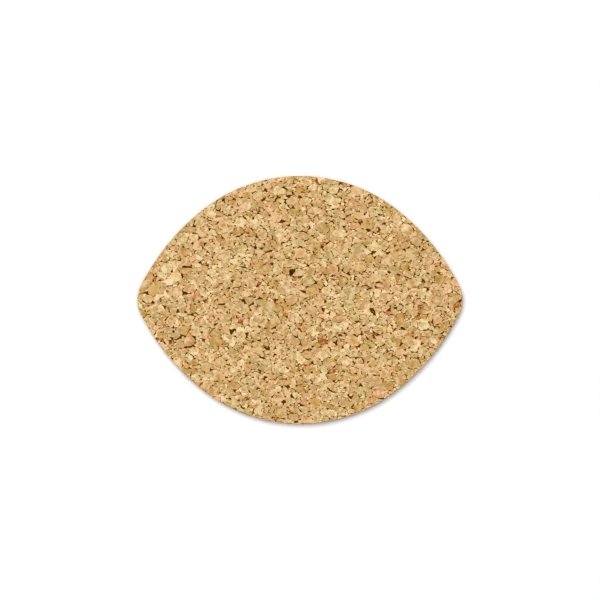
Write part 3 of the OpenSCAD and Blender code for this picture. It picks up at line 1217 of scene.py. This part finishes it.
@dataclass
class FineGranulate:
    """The fine granulate of the sheet: every granule that shows on a face or on the edge.

    Attributes:
        slab: Space of the sheet.
        packing: Where the granules are.
        finish: How granules are sliced.
        rng: Random numbers for tones and shades.
        join_share: Share of the granules that are joined to a neighbour as one.
        join_limit: The most granules that are joined as one.
        join_search: Number of neighbours among which a granule to join is looked for.
        join_reach: How far off it may be, as a share of the granule's radius.
        bit_radius: Granules up to this radius are bits, mm.
        kin_share: Share of the bits that have come off the larger granule beside them.
        kin_search: Number of neighbours among which that granule is looked for.
        flake_share: Share of the granules beside a coarse one that belong to its flake.
        flake_reach: How far off the coarse one may be, as a share of the granule's radius.
        break_share: Share of the flakes that are broken in two along a straight crack.
        crack_lean: How much cracks face along x, y and z.
        crack_shift: How far cracks lie from a granule's middle, as a share of its radius.
        void_share: Share of the small granules that have fallen out and left a pit.
        void_radius: Granules below this radius may have fallen out, mm.
        shade_means: Mean shade of the granules and of the chips.
        shade_spread: Spread of the shades.
        shade_limits: Darkest and lightest shade.
        small_warmth: How much bits and chips vary in warmth beside the larger granules.
        recess: How far a granule's face may lie below the sheet's face, mm.
        tilt: Spread of the slope of the sliced faces.
        tilt_width: Width of a granule that a slope is reckoned over, mm.
        root_depth: Depth to which granules are built away from the edge, mm.
        rim_depth: Granules this near to the edge are built through to it, mm.
        block: Half the block that a granule is cut from: a share of its radius, and more, mm.
        wall_reach: How far neighbours are looked for, as a share of the radii.
        show_reach: How far below the surface granules show, as a share of their radius.
        groups: The granule that stands for each granule's flake.
        meshes: The granules of each side and tone.
    """

    slab: Slab
    packing: GranulePacking
    finish: SliceFinish
    rng: np.random.Generator
    join_share: float = 0.85
    join_limit: int = 4
    join_search: int = 12
    join_reach: float = 3.4
    bit_radius: float = 0.8
    kin_share: float = 0.4
    kin_search: int = 8
    flake_share: float = 0.36
    flake_reach: float = 1.2
    break_share: float = 0.28
    crack_lean: tuple[float, float, float] = (1.0, 1.0, 0.4)
    crack_shift: float = 0.35
    void_share: float = 0.004
    void_radius: float = 0.6
    shade_means: tuple[float, float] = (0.5, 0.72)
    shade_spread: float = 0.29
    shade_limits: tuple[float, float] = (-0.4, 1.15)
    small_warmth: float = 0.4
    recess: tuple[float, float] = (0.015, 0.06)
    tilt: float = 0.006
    tilt_width: float = 2.0
    root_depth: float = 0.75
    rim_depth: float = 4.0
    block: tuple[float, float] = (1.3, 0.5)
    wall_reach: float = 1.45
    show_reach: float = 1.5
    groups: list[int] = field(default_factory=list)
    meshes: dict[tuple[Side, Tone], BMesh] = field(default_factory=dict)

    def join(self, near: kdtree.KDTree) -> None:
        """Joins granules into flakes, each along an axis of its own, and chips likewise."""
        granules, chip = self.packing.granules, self.packing.chip_radius
        self.groups = list(range(len(granules)))
        members = {i: [i] for i in self.groups}
        axes = self.rng.normal(size=(len(granules), 3))
        for index in self.rng.permutation(len(granules)):
            if self.rng.uniform() > self.join_share:
                continue
            own = self.groups[index]
            granule = granules[index]
            axis = Vector(axes[own]).normalized()
            best, straightest = -1, 0.0
            for _, other, gap in near.find_n(granule.place, self.join_search):
                theirs = self.groups[other]
                unlike = (granule.radius > chip) != (granules[other].radius > chip)
                if theirs == own or unlike or gap > self.join_reach * granule.radius:
                    continue
                straight = abs((granules[other].place - granule.place).normalized().dot(axis))
                if len(members[own]) + len(members[theirs]) <= self.join_limit and straight > straightest:
                    best, straightest = theirs, straight
            for member in members.pop(best, []):
                self.groups[member] = own
                members[own].append(member)
        for joined in members.values():
            largest = max(joined, key=lambda i: granules[i].radius)
            for member in joined:
                self.groups[member] = largest

    def cell(self, index: int, near: kdtree.KDTree) -> BMesh:
        """Cuts one granule to shape between its neighbours.

        Args:
            index: The granule's number in the packing.
            near: Search tree over all granules.

        Returns:
            The granule before it is sliced, which may be empty.
        """
        granule = self.packing.granules[index]
        place, radius = granule.place, granule.radius
        share, more = self.block
        half = share * radius + more
        bm = bmesh.new()
        joint = granule_layers(bm)[JOINT]
        bmesh.ops.create_cube(bm, size=2 * half, matrix=Matrix.Translation(place))
        walls: list[tuple[float, Vector, Vector, int]] = []
        for _, other, _ in near.find_range(place, self.wall_reach * (radius + self.packing.radii[0])):
            if other != index:
                point, facing = granule.wall(self.packing.granules[other])
                joined = int(self.groups[index] == self.groups[other])
                walls.append(((point - place).dot(facing), point, facing, joined))
        for column in self.packing.columns.near(place, half):
            outside, point, outward = column.nearest_wall(place)
            walls.append((outside, point, -outward, 0))
        for reach, point, facing, joined in sorted(walls, key=lambda wall: wall[0]):
            if not bm.faces or reach > max((v.co - place).length for v in bm.verts):
                break
            for face in cut_away(bm, point, facing):
                face[joint] = joined
        return bm

    def cracks(self) -> list[Crack | None]:
        """Draws the straight cracks: a point and a direction for each flake that is broken."""
        made: list[Crack | None] = []
        for granule in self.packing.granules:
            across = Vector(self.rng.normal(size=3) * self.crack_lean).normalized()
            shift = float(self.rng.normal(0.0, self.crack_shift * granule.radius))
            broken = self.rng.uniform() < self.break_share and granule.radius > self.packing.chip_radius
            made.append((granule.place + across * shift, across) if broken else None)
        return made

    @staticmethod
    def broken(whole: BMesh, crack: Crack | None) -> list[BMesh]:
        """Breaks a granule along its flake's crack.

        Args:
            whole: The granule, which becomes the first part.
            crack: A point and a direction, if the flake is broken.

        Returns:
            The parts, of which one may be empty.
        """
        if crack is None:
            return [whole]
        point, across = crack
        other = whole.copy()
        cut_away(whole, point, across)
        cut_away(other, point, -across)
        return [whole, other]

    def coarse_beside(self, granule: Granule) -> Column | None:
        """Finds the coarse granule that a fine one lies against.

        Args:
            granule: The fine granule.

        Returns:
            The coarse granule, or none where there is none beside it.
        """
        reach = self.flake_reach * granule.radius
        for column in self.packing.columns.near(granule.place, reach):
            flaky = column.tone not in (Tone.RUSSET, Tone.BARK)
            if flaky and column.nearest_wall(granule.place)[0] < reach:
                return column
        return None

    def slice(self, bm: BMesh, place: Vector, slicing: Slicing) -> bool:
        """Slices a granule at the faces of the sheet and at the die-cut edge, and marks the slices.

        Args:
            bm: The granule.
            place: Its middle, mm.
            slicing: Its slices at the two faces.

        Returns:
            False if the granule lies inside the sheet or outside it.
        """
        skin = granule_layers(bm)[SKIN]
        sliced = []
        for point, direction in slicing.planes(self.slab):
            faces = cut_away(bm, point, direction)
            sliced.append(bool(faces))
            for face in faces:
                face[skin] = 1
        depth, outward = self.slab.outline.depth(np.array([place]))
        if bm.faces and depth[0] < self.rim_depth:
            direction = Vector((*outward[0], 0))
            for face in cut_away(bm, place + direction * (float(depth[0]) - self.recess[1]), direction):
                face[skin] = 1
        elif bm.faces and sliced == [True, False]:
            cut_away(bm, Vector((0, 0, self.slab.top - self.root_depth)), Vector((0, 0, -1)))
        elif bm.faces and sliced == [False, True]:
            cut_away(bm, Vector((0, 0, self.slab.bottom + self.root_depth)), Vector((0, 0, 1)))
        return any(face[skin] for face in bm.faces)

    def shown(self, places: np.ndarray, radii: np.ndarray) -> np.ndarray:
        to_face = np.abs(self.slab.skin_depth(places))
        to_edge = self.slab.outline.depth(places)[0]
        reach = self.show_reach * radii
        shown = (to_face < reach) | (to_edge < reach)
        return shown & (to_edge > -reach)

    def slicings(self) -> list[Slicing]:
        """Works out how each granule is sliced; joined granules are sliced as one."""
        made = []
        for granule in self.packing.granules:
            slopes = self.rng.normal(0.0, self.tilt, size=(2, 2))
            lifts = self.tilt_width * self.join_limit * np.linalg.norm(slopes, axis=1)
            upper, lower = self.rng.uniform(*self.recess, size=2) + lifts
            made.append(Slicing(granule.place, (upper, lower), tuple(map(tuple, slopes))))
        return [made[group] for group in self.groups]

    def tints(self, near: kdtree.KDTree, radii: np.ndarray) -> Tints:
        """Draws the granules' colours.

        Args:
            near: Search tree over all granules.
            radii: The granules' radii, mm.

        Returns:
            The colours.
        """
        granules, count = self.packing.granules, len(radii)
        larger, chips = radii > self.bit_radius, radii <= self.packing.chip_radius
        bits = ~larger & ~chips
        kinds = list(Tone)
        tones, twins = np.zeros(count, dtype=int), np.zeros(count, dtype=int)
        for size, chosen in enumerate((larger, bits, chips)):
            chances = [TONE_SHARES[tone][size] for tone in kinds]
            tones[chosen] = self.rng.choice(len(kinds), size=int(chosen.sum()), p=chances)
            twins[chosen] = self.rng.permutation(np.flatnonzero(chosen))
        means = np.where(chips, self.shade_means[1], self.shade_means[0])
        shades = np.clip(self.rng.normal(means, self.shade_spread), *self.shade_limits)
        swings = self.rng.uniform(-0.5, 0.5, size=count)
        warmths = 0.5 + swings * np.where(larger, 1.0, self.small_warmth)
        for index in np.flatnonzero(bits):
            beside = near.find_n(granules[index].place, self.kin_search)
            kin = [i for _, i, _ in beside if larger[i]]
            if kin and self.rng.uniform() < self.kin_share:
                tones[index], warmths[index] = tones[kin[0]], warmths[kin[0]]
        for index, chance in enumerate(self.rng.uniform(size=count)):
            coarse = self.coarse_beside(granules[index]) if chance < self.flake_share else None
            if coarse:
                tones[index], warmths[index] = kinds.index(coarse.tone), coarse.warmth
                shades[index] = coarse.shade
        return Tints(tones, shades, warmths, twins)

    def build(self) -> None:
        """Cuts and slices every granule that shows and gathers them by side and tone."""
        granules = self.packing.granules
        near = search_tree([g.place for g in granules])
        places = np.array([g.place for g in granules])
        radii = np.array([g.radius for g in granules])
        self.join(near)
        slicings = self.slicings()
        tints = self.tints(near, radii)
        fallen = (radii < self.void_radius) & (self.rng.uniform(size=len(radii)) < self.void_share)
        cracks = self.cracks()
        kinds = list(Tone)
        single = bpy.data.meshes.new("granule")
        for index in np.flatnonzero(self.shown(places, radii) & ~fallen):
            whole = self.cell(int(index), near)
            place, first = granules[index].place, self.groups[index]
            side = Side.UPPER if place.z > self.slab.middle else Side.LOWER
            for bm, kin in zip(self.broken(whole, cracks[first]), (first, tints.twins[first])):
                if bm.faces and self.slice(bm, place, slicings[index]):
                    colour_granule(bm.verts, granule_layers(bm), tints.shades[kin], tints.warmths[kin])
                    key = (side, kinds[tints.tones[kin]])
                    if key not in self.meshes:
                        self.meshes[key] = bmesh.new()
                        granule_layers(self.meshes[key])
                    bm.to_mesh(single)
                    self.meshes[key].from_mesh(single)
                bm.free()
        bpy.data.meshes.remove(single)

    def dress(self, materials: dict[Tone, bpy.types.Material]) -> None:
        """Finishes the granules of every side and tone and puts them in place of the plain sheet."""
        for (side, tone), bm in self.meshes.items():
            self.finish.apply(bm)
            piece = finish_piece(bm, f"{side.value}_{SLOTS[tone]}", materials[tone])
            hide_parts(SHEET_NODE)


@dataclass
class BinderCore:
    """The dark bonded middle of the sheet, seen at the bottom of pits and cracks; its dark colour also
    paints their shade.

    Attributes:
        slab: Space of the sheet.
        cover: Thickness of the granules over the core, mm.
        sides: Number of flats round its edge.
    """

    slab: Slab
    cover: float = 0.42
    sides: int = 120

    def build(self, material: bpy.types.Material) -> None:
        """Cuts the core from a block and puts it in place of the plain sheet."""
        bm = bmesh.new()
        middle = Vector((0, 0, self.slab.middle))
        bmesh.ops.create_cube(bm, size=1.0, matrix=Matrix.Translation(middle))
        outline = self.slab.outline
        thickness = self.slab.top - self.slab.bottom - 2 * self.cover
        stretch = Matrix.Diagonal((outline.length, outline.width, thickness, 1))
        about = Matrix.Translation(middle) @ stretch @ Matrix.Translation(-middle)
        bmesh.ops.transform(bm, matrix=about, verts=bm.verts[:])
        for point, outward in outline.tangents(self.sides):
            cut_away(bm, point - outward * self.cover, outward)
        piece = finish_piece(bm, "binder_core_and_pit_shade", material)
        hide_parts(SHEET_NODE)


@dataclass(frozen=True)
class BinderAndPitShadeFinish:
    """The finish of the bonded core: dark binder with dust of cork in it, dark enough to paint the shade at
    the bottom of pits and cracks.

    Attributes:
        dark: Colour of the binder, darkened as painted shade of deep pits, sRGB.
        light: Colour of the dust, sRGB.
        dust_scale: Scale of the dust, per metre.
        roughness: Roughness of the binder.
        shine: Level of its gloss.
    """

    dark: tuple[int, int, int] = (34, 14, 0)
    light: tuple[int, int, int] = (116, 68, 8)
    dust_scale: float = 2600.0
    roughness: float = 0.8
    shine: float = 0.02

    def material(self) -> bpy.types.Material:
        """Builds the material.

        Returns:
            The material.
        """
        # The core's near-black binder colour also stands in for the shade at the bottom of pits: painted
        # shade.
        material, shader = new_material("binder")
        dust = shader.cloud(shader.place(), self.dust_scale)
        made = {
            "Base Color": shader.mix(dust, linear(self.dark), linear(self.light)),
            "Roughness": self.roughness,
            "Specular IOR Level": self.shine,
        }
        shader.feed(material.node_tree.nodes["Principled BSDF"], made)
        return material


@dataclass(frozen=True)
class Softbox:
    """A soft lamp far away.

    Attributes:
        name: Name of the lamp.
        level: Its share of the light on a level face.
        towards: Direction that its light comes from.
        width: Angle that it spans, degrees.
    """

    name: str
    level: float
    towards: tuple[float, float, float]
    width: float

    def build(self) -> None:
        """Hangs the lamp."""
        towards = Vector(self.towards).normalized()
        lamp = bpy.data.lights.new(self.name, "SUN")
        lamp.angle = math.radians(self.width)
        lamp.energy = self.level * math.pi / towards.z
        box = bpy.data.objects.new(self.name, lamp)
        box.location = towards
        box.rotation_euler = towards.to_track_quat("Z", "Y").to_euler()
        bpy.context.scene.collection.objects.link(box)


@dataclass
class Studio:
    """A white floor, soft light and a camera straight above the coaster.

    Attributes:
        slab: Space of the sheet.
        image_px: Width of the photograph, pixels.
        length_px: Length of the coaster in the photograph, pixels.
        middle_px: The coaster's middle in the photograph, pixels from the left and the top.
        lens: Focal length, mm.
        sensor: Width of the sensor, mm.
        floor_reach: How far the floor goes to each side, m.
        floor_seen: Colour of the floor as the camera sees it.
        floor_bounce: Colour of the floor as it lights the coaster.
        sky_level: Share of the light that comes from all round.
        softboxes: The lamps, which give the rest of the light.
    """

    slab: Slab
    image_px: float = 600.0
    length_px: float = 325.4
    middle_px: tuple[float, float] = (299.95, 299.85)
    lens: float = 600.0
    sensor: float = 36.0
    floor_reach: float = 1.5
    floor_seen: Colour = (1.02, 1.02, 1.02, 1.0)
    floor_bounce: Colour = (0.75, 0.75, 0.75, 1.0)
    sky_level: float = 0.02
    softboxes: tuple[Softbox, ...] = (
        Softbox("overhead", 0.5, (0.0, 0.0, 1.0), 84.0),
        Softbox("key", 0.48, (-0.24, 0.44, 1.0), 42.0),
    )

    def floor(self) -> None:
        """Lays the floor, white to the camera and a little darker as a source of bounced light."""
        bm = bmesh.new()
        bmesh.ops.create_grid(bm, x_segments=1, y_segments=1, size=self.floor_reach)
        mesh = bpy.data.meshes.new("floor")
        bm.to_mesh(mesh)
        bm.free()
        floor = bpy.data.objects.new("floor", mesh)
        bpy.context.scene.collection.objects.link(floor)
        material, shader = new_material("floor_white")
        nodes = material.node_tree.nodes
        nodes.remove(nodes["Principled BSDF"])
        rays = shader.add("LightPath", {}).outputs
        seen = rays["Is Camera Ray"]
        for ray in ("Is Glossy Ray", "Is Transmission Ray"):
            seen = shader.reckon("MAXIMUM", seen, rays[ray])
        colour = shader.mix(seen, self.floor_bounce, self.floor_seen)
        matt = shader.add("BsdfDiffuse", {"Color": colour}).outputs["BSDF"]
        shader.feed(nodes["Material Output"], {"Surface": matt})
        mesh.materials.append(material)

    def light(self) -> None:
        """Sets the sky and the lamps so that a colour renders about as it is written."""
        world = bpy.data.worlds.new("sky")
        world.use_nodes = True
        sky = world.node_tree.nodes["Background"]
        sky.inputs["Color"].default_value = (1, 1, 1, 1)
        sky.inputs["Strength"].default_value = self.sky_level
        bpy.context.scene.world = world
        for softbox in self.softboxes:
            softbox.build()

    def camera(self) -> None:
        """Hangs the camera above the coaster at the photograph's framing."""
        pixel = self.slab.outline.length * MM / self.length_px
        data = bpy.data.cameras.new("camera")
        data.lens = self.lens
        data.sensor_width = self.sensor
        camera = bpy.data.objects.new("camera", data)
        height = self.slab.top * MM + self.image_px * pixel * self.lens / self.sensor
        aside = (self.image_px / 2 - self.middle_px[0]) * pixel
        along = (self.middle_px[1] - self.image_px / 2) * pixel
        camera.location = (aside, along, height)
        bpy.context.scene.collection.objects.link(camera)
        bpy.context.scene.camera = camera
        bpy.context.scene.view_settings.view_transform = "Standard"

    def build(self) -> None:
        """Sets up floor, light and camera."""
        self.floor()
        self.light()
        self.camera()


def main() -> None:
    """Builds the coaster's granules, core and studio in order."""
    logging.basicConfig(level=logging.INFO, format="%(message)s")
    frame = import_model()
    slab = Slab.from_node(SHEET_NODE)
    rng = np.random.default_rng(RANDOM_SEED)
    noise.seed_set(NOISE_SEED)
    finish = SliceFinish(slab)
    grain = CorkGrain().build()
    materials = {tone: FINISHES[tone].material(grain) for tone in Tone}

    coarse = CoarseGranules(slab, finish, rng)
    for tone in Tone:
        coarse.take(tone, frame["nodes"][tone.value])
    packing = GranulePacking(slab, ColumnIndex(coarse.columns), rng)
    packing.pack()
    fine = FineGranulate(slab, packing, finish, rng)
    fine.build()
    fine.dress(materials)
    coarse.dress(materials)
    BinderCore(slab).build(BinderAndPitShadeFinish().material())
    Studio(slab).build()


if __name__ == "__main__":
    main()
